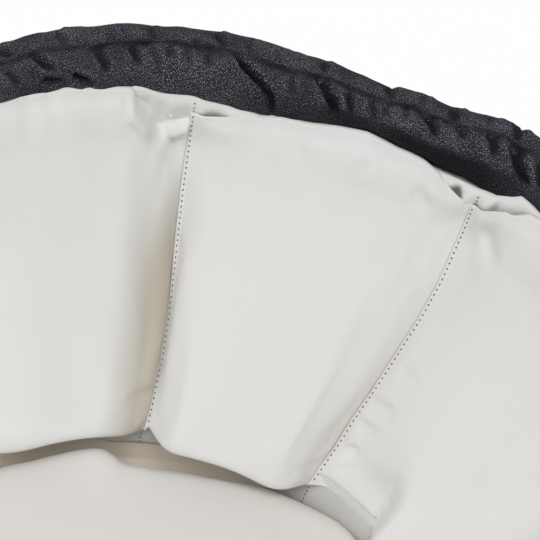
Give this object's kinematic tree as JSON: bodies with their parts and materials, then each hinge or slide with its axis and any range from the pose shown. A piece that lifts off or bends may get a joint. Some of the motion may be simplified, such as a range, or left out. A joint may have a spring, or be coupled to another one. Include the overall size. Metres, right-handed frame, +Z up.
{
  "type": "infant lounger",
  "caption": "Soft oval infant lounger with crowned padded walls, a gathered denim rim, a loose mattress, swinging carry handles and a zip under its base.",
  "frame": {"origin": "on the floor, at the middle of the lounger's plan", "axes": "+Y along the length towards the head end that the picture shows, +X across, +Z up"},
  "size_m": [0.4754, 0.743, 0.1789],
  "materials": {
    "lining_cloth": "smooth ivory woven cloth",
    "gusset_cloth": "smooth ivory woven cloth, shaded",
    "denim": "charcoal denim twill with pale flecks",
    "wadding": "white polyester wadding",
    "foam": "cream polyurethane foam",
    "elastic": "braided elastic",
    "zip_cloth": "woven zip tape with a coil",
    "zip_metal": "nickel plated"
  },
  "bodies": {
    "root": {"lining_head_centre": "lining_cloth", "lining_head_right": "lining_cloth", "lining_head_corner_right": "lining_cloth", "lining_side_right_head": "lining_cloth", "lining_side_right_foot": "lining_cloth", "lining_foot_corner_right": "lining_cloth", "lining_foot_right": "lining_cloth", "lining_foot_centre": "lining_cloth", "lining_foot_left": "lining_cloth", "lining_foot_corner_left": "lining_cloth", "lining_side_left_foot": "lining_cloth", "lining_side_left_head": "lining_cloth", "lining_head_corner_left": "lining_cloth", "lining_head_left": "lining_cloth", "fill_head_centre": "wadding", "fill_head_right": "wadding", "fill_head_corner_right": "wadding", "fill_side_right_head": "wadding", "fill_side_right_foot": "wadding", "fill_foot_corner_right": "wadding", "fill_foot_right": "wadding", "fill_foot_centre": "wadding", "fill_foot_left": "wadding", "fill_foot_corner_left": "wadding", "fill_side_left_foot": "wadding", "fill_side_left_head": "wadding", "fill_head_corner_left": "wadding", "fill_head_left": "wadding", "top_binding": "gusset_cloth", "outer_shell_head": "denim", "outer_shell_right": "denim", "outer_shell_foot": "denim", "outer_shell_left": "denim", "rim_roll": "denim", "rim_tunnel_head": "denim", "rim_tunnel_foot": "denim", "rim_elastic": "elastic", "base_panel": "denim", "base_foam": "foam", "floor_lining": "gusset_cloth", "zip_tape_left": "zip_cloth", "zip_tape_right": "zip_cloth", "handle_patch_left_head": "denim", "handle_patch_left_foot": "denim", "handle_patch_right_head": "denim", "handle_patch_right_foot": "denim"},
    "mattress": {"mattress_cover_top": "lining_cloth", "mattress_foam": "foam", "mattress_cover_base": "lining_cloth"},
    "zip_slider": {"zip_slider": "zip_metal"},
    "zip_pull": {"zip_pull": "zip_metal"},
    "handle_left": {"handle_left": "denim"},
    "handle_right": {"handle_right": "denim"}
  },
  "joints": [
    {"name": "mattress_lift", "type": "slide", "parent": "root", "child": "mattress", "axis": [0, 0, 1], "range_m": [0, 0.17]},
    {"name": "zip_slide", "type": "slide", "parent": "root", "child": "zip_slider", "axis": [0, -1, 0], "range_m": [0, 0.354]},
    {"name": "zip_pull_swing", "type": "hinge", "parent": "zip_slider", "child": "zip_pull", "pos_m": [0, 0.17525, 0.00115], "axis": [1, 0, 0], "range_deg": [0, 120]},
    {"name": "handle_left_swing", "type": "hinge", "parent": "root", "child": "handle_left", "pos_m": [-0.22324, 0, 0.1286], "axis": [0, 1, 0], "range_deg": [-5, 125]},
    {"name": "handle_right_swing", "type": "hinge", "parent": "root", "child": "handle_right", "pos_m": [0.22324, 0, 0.1286], "axis": [0, -1, 0], "range_deg": [-5, 125]}
  ]
}
